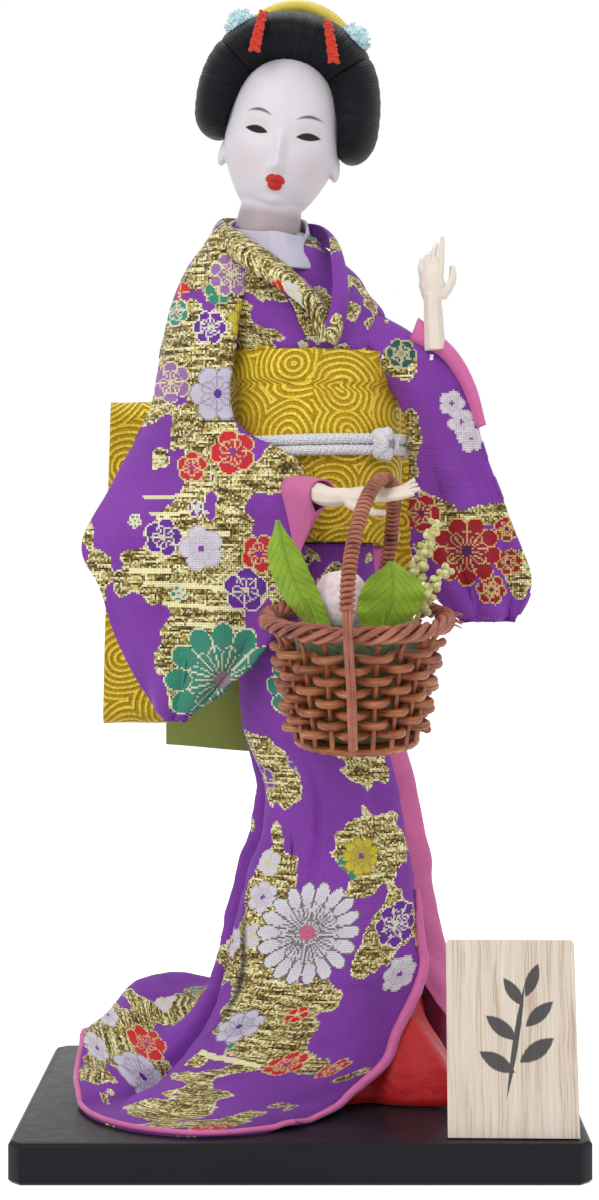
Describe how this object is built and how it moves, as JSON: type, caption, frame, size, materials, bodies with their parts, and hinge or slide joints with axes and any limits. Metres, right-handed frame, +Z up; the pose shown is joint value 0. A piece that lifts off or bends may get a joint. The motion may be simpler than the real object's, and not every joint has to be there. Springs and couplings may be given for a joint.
{
  "type": "geisha doll",
  "caption": "Standing doll in a brocade kimono with a train, a wide sash with a hanging bow and a woven flower basket, on a lacquered board beside a small leaning plaque.",
  "frame": {"origin": "middle of the board's underside", "axes": "+Z up, the doll faces -Y, +X to the right of a person who looks at its face"},
  "size_m": [0.145, 0.1136, 0.3084],
  "materials": {
    "lacquer": "satin black lacquer",
    "steel": "drawn wire and rod",
    "pale_wood": "bare sanded",
    "padding": "stuffed cotton",
    "sock": "white cotton",
    "red_satin": "satin",
    "pink_satin": "satin",
    "brocade": "purple brocade with gold and blossoms",
    "pale_cloth": "matt",
    "gold_brocade": "golden brocade",
    "green_lining": "matt",
    "white_cord": "braided cord",
    "porcelain": "white painted face",
    "skin": "painted resin",
    "hair": "combed black strands",
    "yellow_band": "woven band",
    "red_ribbon": "crinkled",
    "fluff": "fluffy yarn",
    "cane": "stained cane",
    "foam": "flower foam",
    "leaf": "stiffened cloth leaf",
    "bud": "soft",
    "blossom": "small beads"
  },
  "bodies": {
    "root": {"base_plinth": "lacquer", "support_rod": "steel", "rod_screw": "steel", "plaque": "pale_wood", "foot_left": "sock", "foot_right": "sock", "body_form": "padding", "torso_core": "padding", "obi_pad": "padding", "under_skirt": "red_satin", "skirt_lining": "pink_satin", "kimono_skirt": "brocade", "bodice": "brocade", "inner_collar": "pale_cloth", "collar_left": "brocade", "collar_right": "brocade", "obi": "gold_brocade", "obi_cord": "white_cord", "obi_knot": "white_cord", "obi_bow": "gold_brocade", "obi_tail": "green_lining", "sleeve_right": "brocade", "sleeve_right_cuff": "pink_satin", "sleeve_left": "brocade", "sleeve_left_cuff": "pink_satin", "arm_wire_right": "steel", "arm_wire_left": "steel", "hand_right": "skin", "hand_left": "skin"},
    "head": {"head": "porcelain", "hair_front": "hair", "hair_wing_left": "hair", "hair_wing_right": "hair", "hair_back": "hair", "hair_bun": "hair", "hair_band": "yellow_band", "ribbon_left": "red_ribbon", "ribbon_right": "red_ribbon", "pompom_left": "fluff", "pompom_right": "fluff"},
    "basket": {"basket_frame": "cane", "basket_weave": "cane", "basket_rim": "cane", "basket_handle": "cane", "handle_winding": "cane", "flower_foam": "foam", "leaf_left": "leaf", "leaf_right": "leaf", "flower_bud": "bud", "flower_spray_1": "blossom", "flower_spray_2": "blossom"}
  },
  "joints": [
    {"name": "head_turn", "type": "hinge", "parent": "root", "child": "head", "pos_m": [-0.0092, 0.011, 0.246], "axis": [0.1564, 0, 0.9877], "range_deg": [-25, 25]},
    {"name": "basket_swing", "type": "hinge", "parent": "root", "child": "basket", "pos_m": [0.0208, -0.031, 0.172], "axis": [1, 0, 0], "range_deg": [-12, 2]}
  ]
}
